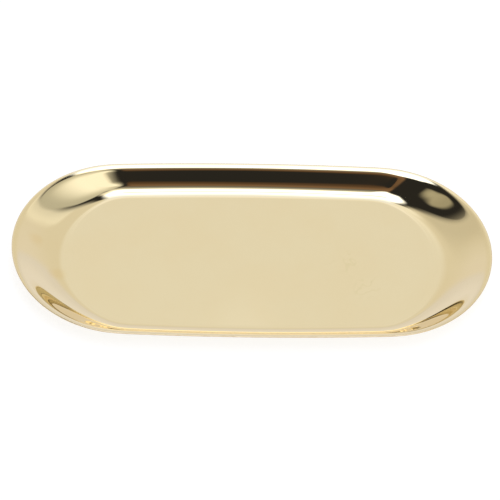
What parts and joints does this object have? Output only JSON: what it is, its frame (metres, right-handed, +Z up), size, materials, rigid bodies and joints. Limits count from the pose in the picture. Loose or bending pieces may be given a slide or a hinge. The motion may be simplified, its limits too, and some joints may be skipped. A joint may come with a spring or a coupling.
{
  "type": "oval tray",
  "caption": "Shallow oval jewelry tray in polished gold-coloured sheet metal, with a flat floor, a curved wall and a thin flared rim.",
  "frame": {"origin": "centre of the flat underside, at the level that the tray stands on", "axes": "+X along the tray's long way, +Y across it, +Z up out of the dish"},
  "size_m": [0.18, 0.085, 0.008],
  "materials": {
    "gold_steel": "polished"
  },
  "bodies": {
    "root": {"tray_pan": "gold_steel"}
  },
  "joints": []
}
